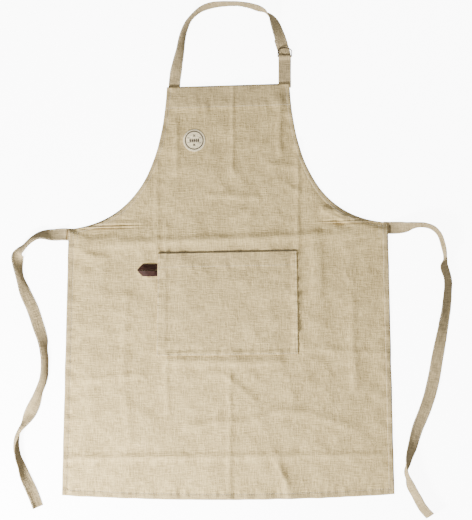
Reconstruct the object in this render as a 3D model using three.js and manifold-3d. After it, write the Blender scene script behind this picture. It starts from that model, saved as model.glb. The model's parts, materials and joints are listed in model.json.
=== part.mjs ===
// A linen bib apron, laid out flat on its back with its neck strap and waist ties spread around it.
// Millimetres. +X to the wearer's left, which is the right of the apron seen from the front,
// +Y up towards the neck and +Z out of the front. The apron lies on z = 0.
import * as THREE from 'three';
import Module from 'manifold-3d';
import { mergeVertices } from 'three/addons/utils/BufferGeometryUtils.js';

// ---- Driving dimensions ----

const apron = {
  height: 873, // hem corner to the top of the bib
  bibHalf: 130, // half the width of the bib's top edge
  waistHalf: 338.5, // half the width where the armhole meets the side
  waistHeight: 575,
  hemHalf: 352.5,
  hemCorner: 5, // the bottom edge bows: its corners are this far above the datum
  hemMiddle: -6,
};
const cloth = 1; // thickness of one layer of linen
const gap = 0.3; // air between separate pieces that touch
const turnedHem = 1.2; // height of the turned-under edge that the panel lies on
const bottomHemDepth = 14;
const sideHemDepth = 12.5;
const topFacingDepth = 47;
const armholeFacingDepth = 10;

const pocket = { topHalf: 147, bottomHalf: 150.5, bottom: 301, height: 218, centreX: -2, belly: 6 };

const label = { diameter: 47, thickness: 0.8, x: -72, y: 756 };

const leather = { length: 42.5, width: 26, shoulder: 11.5, thickness: 2.4, y: 481 };

const strap = { width: 25, thickness: 1.2 };
const tie = { width: 26, thickness: 1.4 };
const floorGap = 0.2; // how far the lowest edge of a strap or tie stays off the surface

const ring = { wire: 2.1, innerHalf: 13.45, depth: 21, leg: 11, x: 119.8, barY: 933 };
const rearBarZ = 2.75;
const frontBarZ = 5.6;
const frontTilt = 8; // degrees: the front ring's bow lies on top of the strap
const tab = { width: 26, thickness: 1.2, tunnelHalf: 1.7, tunnelLow: 1.4, tunnelHigh: 7 };

const panelLow = turnedHem;
const panelTop = panelLow + cloth;

// The apron lies a little out of square: its right side is pushed up towards the neck.
const skewAtHem = 0.003;
const skewAtNeck = 0.028;
const laid = (x, y) => new THREE.Vector2(x, y + x * (skewAtHem + (skewAtNeck * y) / apron.height));

// ---- Materials ----

const linen = new THREE.MeshStandardMaterial({ color: 0xd2c6ab, roughness: 0.92, metalness: 0 });
const ribbonLinen = new THREE.MeshStandardMaterial({ color: 0xbcad95, roughness: 0.92, metalness: 0 });
const bronze = new THREE.MeshStandardMaterial({ color: 0x4a4038, roughness: 0.38, metalness: 0.9 });
const hide = new THREE.MeshStandardMaterial({ color: 0x4a2a26, roughness: 0.5, metalness: 0 });
const labelCotton = new THREE.MeshStandardMaterial({ color: 0xe6dcc8, roughness: 0.85, metalness: 0 });

// ---- Cutting the cloth ----

const spaced = (count) => Array.from({ length: count + 1 }, (_, i) => i / count);

// The right-hand armhole, from the top of the bib down to the waist.
const armhole = new THREE.CubicBezierCurve(
  new THREE.Vector2(apron.bibHalf, apron.height),
  new THREE.Vector2(apron.bibHalf + 10, apron.height - 179),
  new THREE.Vector2(apron.waistHalf - 138, apron.waistHeight + 12),
  new THREE.Vector2(apron.waistHalf, apron.waistHeight),
);

const bottomEdge = (x) => apron.hemMiddle + (apron.hemCorner - apron.hemMiddle) * (x / apron.hemHalf) ** 2;

const sideEdge = (y) => THREE.MathUtils.mapLinear(y, apron.hemCorner, apron.waistHeight, apron.hemHalf, apron.waistHalf);

const sheet = (points, low, high) => {
  const outline = new THREE.Shape(points.map(([x, y]) => laid(x, y)));
  const geometry = new THREE.ExtrudeGeometry(outline, { depth: high - low, bevelEnabled: false });
  return geometry.translate(0, 0, low);
};

const wasm = await Module();
wasm.setup();

const toSolid = (geometry) => {
  geometry.deleteAttribute('normal');
  geometry.deleteAttribute('uv');
  const merged = mergeVertices(geometry);
  return new wasm.Manifold(
    new wasm.Mesh({
      numProp: 3,
      vertProperties: merged.attributes.position.array,
      triVerts: new Uint32Array(merged.index.array),
    }),
  );
};

const toGeometry = (solid) => {
  const { vertProperties, triVerts } = solid.getMesh();
  const geometry = new THREE.BufferGeometry();
  geometry.setAttribute('position', new THREE.BufferAttribute(vertProperties, 3));
  geometry.setIndex(new THREE.BufferAttribute(triVerts, 1));
  geometry.computeVertexNormals();
  return geometry;
};

// The panel is one cloth: a flat sheet whose side and bottom edges are turned under.
const bodyPanel = () => {
  const hemPoints = spaced(16).map((t) => apron.hemHalf * (2 * t - 1));
  const armholePoints = armhole.getPoints(28).map((p) => [p.x, p.y]);
  const front = [
    ...hemPoints.map((x) => [x, bottomEdge(x)]),
    ...[...armholePoints].reverse(),
    ...armholePoints.map(([x, y]) => [-x, y]),
  ];
  const bottomHem = [
    ...hemPoints.map((x) => [x, bottomEdge(x)]),
    ...[...hemPoints].reverse().map((x) => [x, bottomEdge(x) + bottomHemDepth]),
  ];
  const sideHemTop = apron.waistHeight - armholeFacingDepth - 4;
  const sideHem = (side) => {
    const corners = [
      [sideEdge(apron.hemCorner), apron.hemCorner],
      [sideEdge(sideHemTop), sideHemTop],
      [sideEdge(sideHemTop) - sideHemDepth, sideHemTop],
      [sideEdge(apron.hemCorner) - sideHemDepth, apron.hemCorner],
    ];
    return corners.map(([x, y]) => [side * x, y]);
  };
  const underTop = panelLow + cloth / 2; // the turned edges run halfway up into the sheet they belong to
  return toGeometry(
    toSolid(sheet(front, panelLow, panelTop))
      .add(toSolid(sheet(bottomHem, 0, underTop)))
      .add(toSolid(sheet(sideHem(1), 0, underTop)))
      .add(toSolid(sheet(sideHem(-1), 0, underTop))),
  );
};

const facingTop = panelLow - gap;

const bibTopFacing = () => {
  const low = apron.height - topFacingDepth;
  const lowHalf = apron.bibHalf + 2.8; // the bib has widened this much at the facing's lower edge
  const corners = [
    [-lowHalf, low],
    [lowHalf, low],
    [apron.bibHalf, apron.height],
    [-apron.bibHalf, apron.height],
  ];
  return sheet(corners, 0, facingTop);
};

// A narrow strip that follows the armhole from the bib facing down to the waist.
const armholeFacing = (side) => {
  const steps = spaced(24).map((t) => THREE.MathUtils.lerp(0.1, 1, t));
  const outer = steps.map((t) => armhole.getPoint(t));
  const inner = steps.map((t) => {
    const along = armhole.getTangent(t);
    return armhole.getPoint(t).add(new THREE.Vector2(along.y, -along.x).multiplyScalar(armholeFacingDepth));
  });
  const points = [...outer, ...inner.reverse()].map((p) => [side * p.x, p.y]);
  return sheet(points, 0, facingTop);
};

// The pocket is sewn down on three sides and stands off the panel in a low belly towards its mouth.
const pocketPanel = () => {
  const geometry = new THREE.BoxGeometry(2, 1, 1, 24, 16, 1);
  const place = geometry.attributes.position;
  const low = panelTop + gap;
  for (let i = 0; i < place.count; i += 1) {
    const across = place.getX(i);
    const up = place.getY(i) + 0.5;
    const layer = place.getZ(i) + 0.5;
    const half = THREE.MathUtils.lerp(pocket.bottomHalf, pocket.topHalf, up);
    const rise = Math.sin((Math.min(up / 0.35, 1) * Math.PI) / 2) ** 2;
    const spot = laid(pocket.centreX + across * half, pocket.bottom + up * pocket.height);
    place.setXYZ(i, spot.x, spot.y, low + layer * cloth + pocket.belly * rise * (1 - across ** 4));
  }
  return geometry;
};

const roundLabel = () =>
  new THREE.CylinderGeometry(label.diameter / 2, label.diameter / 2, label.thickness, 48)
    .rotateX(Math.PI / 2)
    .translate(label.x, label.y, panelTop + gap + label.thickness / 2);

// A leather strip folded into a flat loop with a mitred point, its two ends side by side in the seam.
const pocketEdgeX = laid(pocket.centreX - pocket.topHalf, leather.y).x - 0.9;
const leatherLow = panelTop + gap;
const leatherLoop = () => {
  const half = leather.width / 2;
  const outline = new THREE.Shape([
    new THREE.Vector2(0, -half),
    new THREE.Vector2(0, half),
    new THREE.Vector2(-leather.length + leather.shoulder, half),
    new THREE.Vector2(-leather.length, 0),
    new THREE.Vector2(-leather.length + leather.shoulder, -half),
  ]);
  return new THREE.ExtrudeGeometry(outline, {
    depth: leather.thickness,
    bevelEnabled: false,
  });
};

// ---- Straps and ties ----

// A flat ribbon through a list of centres, each with the direction across the ribbon.
const ribbon = (stations, size) => {
  const geometry = new THREE.BoxGeometry(1, 1, 1, stations.length - 1, 1, 1);
  const place = geometry.attributes.position;
  const frames = stations.map(({ centre, across }, i) => {
    const before = stations[Math.max(i - 1, 0)].centre;
    const after = stations[Math.min(i + 1, stations.length - 1)].centre;
    const along = after.clone().sub(before).normalize();
    const side = across.clone().addScaledVector(along, -across.dot(along)).normalize();
    return { centre, side, out: along.clone().cross(side) };
  });
  for (let i = 0; i < place.count; i += 1) {
    const { centre, side, out } = frames[Math.round((place.getX(i) + 0.5) * (stations.length - 1))];
    const spot = centre
      .clone()
      .addScaledVector(side, place.getY(i) * size.width)
      .addScaledVector(out, place.getZ(i) * size.thickness);
    place.setXYZ(i, spot.x, spot.y, spot.z);
  }
  return geometry;
};

// A ribbon lying loose on the surface. Each row is x, y, the roll in degrees and any extra lift.
// At roll 0 the ribbon lies flat, at 90 it stands on its edge and at 180 it lies on its other face.
const looseStations = (rows, size, steps) => {
  const places = new THREE.CatmullRomCurve3(
    rows.map(([x, y, , lift = 0]) => new THREE.Vector3(x, y, lift)),
    false,
    'catmullrom',
    0.5,
  );
  const rolls = new THREE.CatmullRomCurve3(
    rows.map(([, , roll]) => new THREE.Vector3(roll, 0, 0)),
    false,
    'catmullrom',
    0.5,
  );
  return spaced(steps).map((t) => {
    const centre = places.getPoint(t);
    const along = places.getTangent(t);
    const roll = THREE.MathUtils.degToRad(rolls.getPoint(t).x);
    const left = new THREE.Vector3(-along.y, along.x, 0).normalize();
    const across = left.multiplyScalar(Math.cos(roll)).add(new THREE.Vector3(0, 0, Math.sin(roll)));
    const halfHeight = (size.width * Math.abs(Math.sin(roll)) + size.thickness * Math.abs(Math.cos(roll))) / 2;
    centre.z = Math.max(centre.z, 0) + floorGap + halfHeight;
    return { centre, across };
  });
};

// The neck strap leaves the bib's left corner, stands on its edge over the top of the arch, rolls
// over and comes down flat to the rings.
const strapRoute = [
  [-114, 871.5, 0],
  [-112.5, 889, 0],
  [-108, 914, 22],
  [-101.5, 944, 38],
  [-97, 969, 50],
  [-90, 992, 64],
  [-79, 1012, 75],
  [-60, 1029.5, 72],
  [-38, 1039, 66],
  [-12, 1042.5, 72],
  [18, 1043, 76],
  [44, 1038, 72],
  [66, 1030, 68],
  [80, 1022, 90],
  [90, 1009, 128, 0.5],
  [98, 992, 143, 1.6],
  [105.5, 972, 160, 2.8],
  [112.5, 955, 178, 4],
];

const neckStrap = () => {
  const stations = looseStations(strapRoute, strap, 60);
  stations.pop();
  const flat = new THREE.Vector3(-1, 0, 0);
  const foldRadius = rearBarZ - floorGap - strap.thickness / 2;
  const foldY = ring.barY + 8.5;
  const add = (x, y, z) => stations.push({ centre: new THREE.Vector3(x, y, z), across: flat });
  add(ring.x - 1.6, foldY + 6, rearBarZ + foldRadius);
  for (const t of spaced(8)) {
    const turn = t * Math.PI;
    add(ring.x, foldY - foldRadius * Math.sin(turn), rearBarZ + foldRadius * Math.cos(turn));
  }
  add(ring.x - 1.2, foldY + 12, floorGap + strap.thickness / 2);
  add(ring.x - 8, foldY + 38, floorGap + strap.thickness / 2);
  return ribbon(stations, strap);
};

const leftTieRoute = [
  [-340, 556.5, 0],
  [-352, 557, 10],
  [-372, 556, 42],
  [-398, 556, 66],
  [-416, 547, 76],
  [-432, 531, 72],
  [-443, 519, 78],
  [-446, 508, 128],
  [-443.5, 485, 148],
  [-438, 462, 118],
  [-429, 434, 42],
  [-414, 400, 20],
  [-403, 368, 22],
  [-393, 337, 42],
  [-389, 315, 116],
  [-386.5, 288, 140],
  [-389, 254, 146],
  [-400, 222, 140],
  [-413, 190, 116],
  [-428, 163, 66],
  [-440, 143, 74],
  [-448, 118, 96],
  [-446, 90, 112],
  [-437, 66, 132],
  [-429, 44, 156],
  [-418, 20, 176],
  [-409, 0, 180],
  [-402, -20, 180],
];

const rightTieRoute = [
  [340, 571, 0],
  [356, 571, 0],
  [374, 572, 24],
  [393, 575, 56],
  [414, 576, 70],
  [433, 570, 74],
  [447, 556, 84],
  [455, 534, 86],
  [459, 510, 80],
  [456, 490, 60],
  [464, 462, 68],
  [463, 425, 56],
  [459, 384, 44],
  [451, 340, 26],
  [443, 296, 16],
  [436, 254, 8],
  [427, 216, 6],
  [413, 176, 14],
  [400, 144, 30],
  [390, 110, 48],
  [380, 76, 70],
  [377, 54, 92],
  [385, 26, 158],
  [400, -2, 194],
  [412, -22, 204],
  [427, -39, 208],
];

// ---- Rings and their tab ----

const ringOutline = (offset) => {
  const half = ring.innerHalf + offset;
  const bow = ring.depth - ring.wire - ring.leg - ring.wire / 2 + offset;
  const legTop = ring.leg;
  const low = ring.wire / 2 - offset;
  const path = new THREE.Path();
  path.moveTo(-half, low);
  path.lineTo(half, low);
  path.lineTo(half, legTop);
  path.absellipse(0, legTop, half, bow, 0, Math.PI, false, 0);
  path.closePath();
  return path.getPoints(16);
};

// A D-ring with its straight bar along X through the origin and its bow towards +Y.
const dRing = () => {
  const bevel = 0.6;
  const outline = new THREE.Shape(ringOutline(ring.wire - bevel));
  outline.holes.push(new THREE.Path(ringOutline(bevel)));
  return new THREE.ExtrudeGeometry(outline, {
    depth: ring.wire - 2 * bevel,
    bevelThickness: bevel,
    bevelSize: bevel,
    bevelSegments: 2,
  }).translate(0, 0, -ring.wire / 2 + bevel);
};

// The tab is a doubled strip whose fold holds the bars of both rings.
const ringTab = () => {
  const outerHalf = tab.tunnelHalf + tab.thickness;
  const low = tab.tunnelLow - tab.thickness;
  const high = tab.tunnelHigh + tab.thickness;
  const tailTop = low + 2 * tab.thickness;
  const outline = new THREE.Shape();
  outline.moveTo(outerHalf, low + outerHalf);
  outline.lineTo(outerHalf, high - outerHalf);
  outline.absarc(0, high - outerHalf, outerHalf, 0, Math.PI, false);
  outline.lineTo(-outerHalf, tailTop + 1.5);
  outline.lineTo(-outerHalf - 5, tailTop);
  outline.lineTo(apron.height + 4.4 - ring.barY, tailTop);
  outline.lineTo(apron.height + 4.4 - ring.barY, low);
  outline.lineTo(0, low);
  outline.absarc(0, low + outerHalf, outerHalf, -Math.PI / 2, 0, false);
  const tunnel = new THREE.Path();
  tunnel.absarc(0, tab.tunnelHigh - tab.tunnelHalf, tab.tunnelHalf, 0, Math.PI, false);
  tunnel.absarc(0, tab.tunnelLow + tab.tunnelHalf, tab.tunnelHalf, Math.PI, 2 * Math.PI, false);
  outline.holes.push(tunnel);
  return new THREE.ExtrudeGeometry(outline, { depth: tab.width, curveSegments: 6, bevelEnabled: false })
    .translate(0, 0, -tab.width / 2)
    .rotateX(Math.PI / 2)
    .rotateZ(Math.PI / 2);
};

// ---- The assembly ----

const object = new THREE.Group();

const addPiece = (name, geometry, material, position = [0, 0, 0]) => {
  const mesh = new THREE.Mesh(geometry, material.clone());
  mesh.name = name;
  mesh.position.set(...position);
  object.add(mesh);
  return mesh;
};

addPiece('body_panel', bodyPanel(), linen);
addPiece('bib_top_facing', bibTopFacing(), linen);
addPiece('left_armhole_facing', armholeFacing(-1), linen);
addPiece('right_armhole_facing', armholeFacing(1), linen);
addPiece('pocket_panel', pocketPanel(), linen);
addPiece('round_label', roundLabel(), labelCotton);
addPiece('leather_loop', leatherLoop(), hide, [pocketEdgeX, leather.y, leatherLow]);
addPiece('neck_strap', neckStrap(), ribbonLinen);
addPiece('ring_tab', ringTab(), ribbonLinen, [ring.x, ring.barY, 0]);
addPiece('d_ring_rear', dRing(), bronze, [ring.x, ring.barY, rearBarZ]);
addPiece('d_ring_front', dRing(), bronze, [ring.x, ring.barY, frontBarZ]).rotation.x =
  THREE.MathUtils.degToRad(frontTilt);
addPiece('left_tie', ribbon(looseStations(leftTieRoute, tie, 76), tie), ribbonLinen);
addPiece('right_tie', ribbon(looseStations(rightTieRoute, tie, 72), tie), ribbonLinen);

// The origin is under the middle of the whole object as it lies.
object.updateMatrixWorld(true);
const reach = new THREE.Box3().setFromObject(object, true);
object.position.set(-(reach.min.x + reach.max.x) / 2, -(reach.min.y + reach.max.y) / 2, -reach.min.z);

export default object;
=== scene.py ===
import json
from math import cos, pi, radians, sin

import bmesh
import bpy
import numpy as np
from mathutils import Matrix, Vector, noise
from mathutils.bvhtree import BVHTree


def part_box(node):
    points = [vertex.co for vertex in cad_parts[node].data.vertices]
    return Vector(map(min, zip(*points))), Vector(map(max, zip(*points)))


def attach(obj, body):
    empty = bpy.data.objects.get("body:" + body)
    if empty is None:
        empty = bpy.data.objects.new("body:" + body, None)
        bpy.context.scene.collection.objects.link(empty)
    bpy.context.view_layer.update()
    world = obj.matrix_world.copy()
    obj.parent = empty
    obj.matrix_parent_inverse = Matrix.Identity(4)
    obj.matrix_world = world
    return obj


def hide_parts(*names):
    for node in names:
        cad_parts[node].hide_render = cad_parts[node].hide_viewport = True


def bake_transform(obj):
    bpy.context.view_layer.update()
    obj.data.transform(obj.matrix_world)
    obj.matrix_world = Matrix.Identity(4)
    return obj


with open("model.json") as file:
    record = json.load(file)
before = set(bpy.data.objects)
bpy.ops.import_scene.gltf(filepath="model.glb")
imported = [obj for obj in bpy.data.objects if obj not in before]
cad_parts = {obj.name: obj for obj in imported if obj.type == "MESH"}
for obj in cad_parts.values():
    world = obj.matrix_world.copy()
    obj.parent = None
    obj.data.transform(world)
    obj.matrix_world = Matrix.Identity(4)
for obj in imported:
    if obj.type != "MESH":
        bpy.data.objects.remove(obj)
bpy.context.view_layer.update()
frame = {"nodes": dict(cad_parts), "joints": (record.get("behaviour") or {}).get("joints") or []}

mm = 0.001
joints = {joint["name"]: joint for joint in frame["joints"]}
print("frame loaded:", len(frame["nodes"]), "solids")

# the camera looks straight down on the apron through a long lens
cameraSet = {
    "lens": 100.0,
    "sensor": 36.0,
    "groundHigh": 1.1024,  # metres of floor in view, from bottom to top
    "centre": (0.0091, 0.0026),
}


def addObject(name, data):
    made = bpy.data.objects.new(name, data)
    bpy.context.scene.collection.objects.link(made)
    return made


def makeCamera():
    data = bpy.data.cameras.new("camera")
    data.lens = cameraSet["lens"]
    data.sensor_width = cameraSet["sensor"]
    camera = addObject("camera", data)
    high = cameraSet["lens"] / cameraSet["sensor"] * cameraSet["groundHigh"]
    camera.location = (*cameraSet["centre"], high)
    bpy.context.scene.camera = camera


makeCamera()


# small tools for the node trees

def addNode(tree, kind, settings=None, **sockets):
    made = tree.nodes.new("ShaderNode" + kind)
    for name, value in (settings or {}).items():
        setattr(made, name, value)
    for name, value in sockets.items():
        key = int(name[1:]) if name[1:].isdigit() else name  # i0 is the first socket
        if isinstance(value, bpy.types.NodeSocket):
            tree.links.new(value, made.inputs[key])
        else:
            made.inputs[key].default_value = value
    return made


def calc(tree, operation, first, second=0.0):
    return addNode(tree, "Math", {"operation": operation}, i0=first, i1=second).outputs[0]


def times(tree, first, second):
    return calc(tree, "MULTIPLY", first, second)


def mixColour(tree, share, first, second):
    made = addNode(tree, "Mix", {"data_type": "RGBA"}, i0=share, i6=first, i7=second)
    return made.outputs[2]


def ranged(tree, value, low, high, toLow=0.0, toHigh=1.0):
    made = addNode(tree, "MapRange", i0=value, i1=low, i2=high, i3=toLow, i4=toHigh)
    return made.outputs[0]


def stretched(tree, vector, scale):
    return addNode(tree, "Mapping", Vector=vector, Scale=scale).outputs[0]


def noiseOf(tree, vector, scale=1.0, detail=2.0, roughness=0.5):
    made = addNode(tree, "TexNoise", Vector=vector, Scale=scale, Detail=detail, Roughness=roughness)
    return made.outputs[0]


# where a point is on the object
def placeOf(tree):
    return addNode(tree, "TexCoord").outputs["Object"]


# where a point is on the flat cloth, in metres
def flatOf(tree):
    return addNode(tree, "UVMap", {"uv_map": "cloth"}).outputs[0]


def joinShader(tree, shader, colour, rough, relief, strength, deep):
    tree.links.new(colour, shader.inputs["Base Color"])
    tree.links.new(rough, shader.inputs["Roughness"])
    bump = addNode(tree, "Bump", Height=relief, Strength=strength, Distance=deep)
    tree.links.new(bump.outputs[0], shader.inputs["Normal"])


def newMaterial(name):
    material = bpy.data.materials.new(name)
    material.use_nodes = True
    tree = material.node_tree
    return material, tree, tree.nodes["Principled BSDF"]


# materials

linenSet = {
    "yarn": 1.15 * mm,  # from one yarn to the next
    "stray": 5.0,  # how far the yarns wander from straight
    "slubLong": 22 * mm, "slubWide": 1.9 * mm, "streakLong": 55 * mm, "streakWide": 1.7 * mm,
    # the gap share is painted shade in the gaps between yarns
    "streak": 0.6, "warpStreak": 0.8, "blotch": 0.14, "gap": 0.34, "fleck": 0.35,  # shares
    "doubled": 0.24,  # painted shade: how much the painted-shade attribute darkens the cloth, where it lies doubled and along the pocket's mouth
    "weaveRelief": 0.26, "slubRelief": 1.25, "streakRelief": 0.3, "crumpleRelief": 1.15,  # in mm
    "creaseRelief": -2.2,  # a share of the crumple's
    "gloss": 0.2, "sheen": 0.08, "sheenRough": 0.5,
}


def linen(name, pale, dark, shade):
    material, tree, shader = newMaterial(name)
    cloth = flatOf(tree)
    wander = times(tree, noiseOf(tree, cloth, 160.0), linenSet["stray"])
    split = addNode(tree, "SeparateXYZ", Vector=cloth)
    waves = []
    for axis in (0, 1):
        turns = times(tree, split.outputs[axis], pi / linenSet["yarn"])
        waves.append(calc(tree, "SINE", calc(tree, "ADD", turns, wander)))
    over = times(tree, waves[0], waves[1])  # which yarn lies on top
    warp = times(tree, calc(tree, "ABSOLUTE", waves[0]), ranged(tree, over, -1, 1))
    weft = times(tree, calc(tree, "ABSOLUTE", waves[1]), ranged(tree, over, -1, 1, 1, 0))
    weave = calc(tree, "MAXIMUM", warp, weft)

    # noise drawn out along the weft and along the warp
    def bothWays(long, wide, low, high):
        made = []
        for scale in ((1 / long, 1 / wide, 1), (1 / wide, 1 / long, 1)):
            drawn = noiseOf(tree, stretched(tree, cloth, scale), 1.0, 3.0, 0.6)
            made.append(ranged(tree, drawn, low, high))
        return made

    weftSlub, warpSlub = bothWays(linenSet["slubLong"], linenSet["slubWide"], 0.3, 0.7)
    slub = times(tree, calc(tree, "ADD", weftSlub, warpSlub), 0.5)
    weftStreak, warpStreak = bothWays(linenSet["streakLong"], linenSet["streakWide"], 0.54, 0.68)
    warpStreak = times(tree, warpStreak, linenSet["warpStreak"])
    streak = calc(tree, "MAXIMUM", weftStreak, warpStreak)
    cloud = noiseOf(tree, cloth, 14.0, 4.0, 0.6)
    blotch = ranged(tree, cloud, 0.35, 0.65, -linenSet["blotch"], linenSet["blotch"])
    fleck = ranged(tree, noiseOf(tree, stretched(tree, cloth, (260, 420, 1))), 0.6, 0.75)
    tone = calc(tree, "ADD", ranged(tree, slub, 0.28, 0.72), blotch)
    tone = calc(tree, "ADD", tone, times(tree, streak, linenSet["streak"]))
    colour = mixColour(tree, tone, (*dark, 1), (*pale, 1))
    # painted shade kept on each piece: darker where the cloth lies doubled and along the pocket's
    # mouth
    layers = addNode(tree, "Attribute", {"attribute_name": "layers"}).outputs["Fac"]
    shades = [
        ranged(tree, weave, 0.0, 0.55, linenSet["gap"], 0.0),  # painted shade in the gaps between yarns
        times(tree, fleck, linenSet["fleck"]),
        times(tree, layers, linenSet["doubled"]),
    ]
    for share in shades:
        colour = mixColour(tree, share, colour, (*shade, 1))
    crease = calc(tree, "ABSOLUTE", calc(tree, "SUBTRACT", noiseOf(tree, cloth, 42.0), 0.5))
    crease = times(tree, crease, linenSet["creaseRelief"])
    crumple = calc(tree, "ADD", noiseOf(tree, cloth, 85.0, 3.0, 0.6), crease)
    relief = times(tree, weave, linenSet["weaveRelief"])
    for part, high in ((slub, "slubRelief"), (streak, "streakRelief"), (crumple, "crumpleRelief")):
        relief = calc(tree, "ADD", relief, times(tree, part, linenSet[high]))
    joinShader(tree, shader, colour, ranged(tree, slub, 0.2, 0.8, 0.95, 0.8), relief, 1.0, mm)
    shader.inputs["Specular IOR Level"].default_value = linenSet["gloss"]
    shader.inputs["Sheen Weight"].default_value = linenSet["sheen"]
    shader.inputs["Sheen Roughness"].default_value = linenSet["sheenRough"]
    return material


threadSet = {"dark": (0.82, 0.70, 0.46, 1), "pale": (0.96, 0.88, 0.66, 1), "relief": 0.2 * mm}


def sewingThread():
    material, tree, shader = newMaterial("sewingThread")
    twist = noiseOf(tree, placeOf(tree), 900.0)
    colour = mixColour(tree, twist, threadSet["dark"], threadSet["pale"])
    rough = ranged(tree, twist, 0.3, 0.7, 0.55, 0.75)
    joinShader(tree, shader, colour, rough, twist, 0.4, threadSet["relief"])
    return material


bronzeSet = {"dark": (0.035, 0.026, 0.02, 1), "pale": (0.13, 0.095, 0.065, 1),
             "rubbed": (0.36, 0.26, 0.15, 1), "rubShare": 0.6, "metal": 0.9, "relief": 0.1 * mm}


def darkBronze():
    material, tree, shader = newMaterial("darkBronze")
    place = placeOf(tree)
    cloud = noiseOf(tree, place, 260.0, 4.0, 0.6)
    rub = ranged(tree, noiseOf(tree, place, 700.0, 3.0), 0.58, 0.72)
    rub = times(tree, rub, bronzeSet["rubShare"])
    colour = mixColour(tree, cloud, bronzeSet["dark"], bronzeSet["pale"])
    colour = mixColour(tree, rub, colour, bronzeSet["rubbed"])
    rough = ranged(tree, cloud, 0.3, 0.7, 0.28, 0.46)
    joinShader(tree, shader, colour, rough, cloud, 0.25, bronzeSet["relief"])
    shader.inputs["Metallic"].default_value = bronzeSet["metal"]
    return material


hideSet = {"dark": (0.010, 0.004, 0.003, 1), "pale": (0.046, 0.018, 0.013, 1),
           "streak": (0.10, 0.05, 0.036, 1), "streakShare": 0.5, "gloss": 0.12,
           "poreRelief": 0.5, "streakRelief": 0.4, "relief": 0.25 * mm}


def loopLeather():
    material, tree, shader = newMaterial("loopLeather")
    flat = flatOf(tree)
    pores = addNode(tree, "TexVoronoi", Vector=flat, Scale=1400.0).outputs["Distance"]
    cloud = noiseOf(tree, flat, 170.0, 4.0, 0.6)
    streak = ranged(tree, noiseOf(tree, stretched(tree, flat, (70, 900, 1)), 1.0, 3.0), 0.45, 0.7)
    share = times(tree, streak, hideSet["streakShare"])
    colour = mixColour(tree, cloud, hideSet["dark"], hideSet["pale"])
    colour = mixColour(tree, share, colour, hideSet["streak"])
    relief = calc(tree, "ADD", times(tree, pores, hideSet["poreRelief"]),
                  times(tree, streak, hideSet["streakRelief"]))
    rough = ranged(tree, cloud, 0.3, 0.7, 0.55, 0.75)
    joinShader(tree, shader, colour, rough, relief, 0.5, hideSet["relief"])
    shader.inputs["Specular IOR Level"].default_value = hideSet["gloss"]
    return material


inkSet = {"dark": (0.035, 0.024, 0.016, 1), "worn": (0.10, 0.07, 0.045, 1), "rough": 0.8}


def plainInk():
    material, tree, shader = newMaterial("labelInk")
    wear = ranged(tree, noiseOf(tree, placeOf(tree), 1500.0, 3.0), 0.4, 0.8)
    colour = mixColour(tree, wear, inkSet["dark"], inkSet["worn"])
    tree.links.new(colour, shader.inputs["Base Color"])
    shader.inputs["Roughness"].default_value = inkSet["rough"]
    return material


floorSet = {"half": 12, "dark": (0.9, 0.9, 0.9, 1), "pale": (0.93, 0.93, 0.93, 1),
            "rough": 0.9, "glow": 9.0}


def floorPaper():
    material, tree, shader = newMaterial("floorPaper")
    colour = mixColour(tree, noiseOf(tree, placeOf(tree), 3.0), floorSet["dark"], floorSet["pale"])
    tree.links.new(colour, shader.inputs["Base Color"])
    shader.inputs["Roughness"].default_value = floorSet["rough"]
    shader.inputs["Emission Color"].default_value = (1, 1, 1, 1)
    shader.inputs["Emission Strength"].default_value = floorSet["glow"]
    material.cycles.emission_sampling = "NONE"
    return material


# pale, dark and shaded colours of each cloth
bodyLinen = linen("bodyLinen", (0.87, 0.65, 0.295), (0.48, 0.35, 0.15), (0.28, 0.22, 0.135))
# the ties and strap take the body's linen painted darker: painted shade
shadedRibbonLinen = linen("shadedRibbonLinen", (0.66, 0.50, 0.26), (0.37, 0.28, 0.14), (0.22, 0.175, 0.11))
labelCotton = linen("labelCotton", (1.0, 0.86, 0.56), (0.98, 0.82, 0.52), (0.82, 0.66, 0.40))
thread = sewingThread()
bronze = darkBronze()
leather = loopLeather()
ink = plainInk()
print("materials made")


# small tools for the pieces

def keepPiece(name, bm, material):
    for face in bm.faces:
        face.smooth = True
    mesh = bpy.data.meshes.new(name)
    bm.to_mesh(mesh)
    bm.free()
    mesh.materials.append(material)
    return addObject(name, mesh)


# place turns grid places from -1 to 1 into points and flat cloth places
def clothGrid(name, columns, rows, place, material, thick, offset=-1.0):
    bm = bmesh.new()
    bmesh.ops.create_grid(bm, x_segments=columns, y_segments=rows, size=1)
    bm.verts.ensure_lookup_table()
    bm.verts.index_update()
    spots = np.array([v.co for v in bm.verts])
    points, flat, *layers = place(spots[:, 0], spots[:, 1])
    for vert, point in zip(bm.verts, points):
        vert.co = point
    uvLayer = bm.loops.layers.uv.new("cloth")
    for face in bm.faces:
        for loop in face.loops:
            loop[uvLayer].uv = flat[loop.vert.index]
    piece = keepPiece(name, bm, material)
    # a third value from place is painted shade, kept as a point attribute
    if layers:
        piece.data.attributes.new("layers", "FLOAT", "POINT").data.foreach_set("value", layers[0])
    if thick:
        wall = piece.modifiers.new("thickness", "SOLIDIFY")
        wall.thickness = thick
        wall.offset = offset
    return piece


def mergedMesh(mesh):
    bm = bmesh.new()
    bm.from_mesh(mesh)
    bmesh.ops.remove_doubles(bm, verts=bm.verts, dist=0.01 * mm)
    bmesh.ops.recalc_face_normals(bm, faces=bm.faces)
    return bm


def softenEdges(piece, name, width, angle):
    soft = piece.modifiers.new(name, "BEVEL")
    soft.width = width
    soft.segments = 2
    soft.limit_method = "ANGLE"
    soft.angle_limit = radians(angle)


def surfaceOf(piece):
    mesh = piece.data
    return BVHTree.FromPolygons([v.co for v in mesh.vertices], [p.vertices for p in mesh.polygons])


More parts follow.
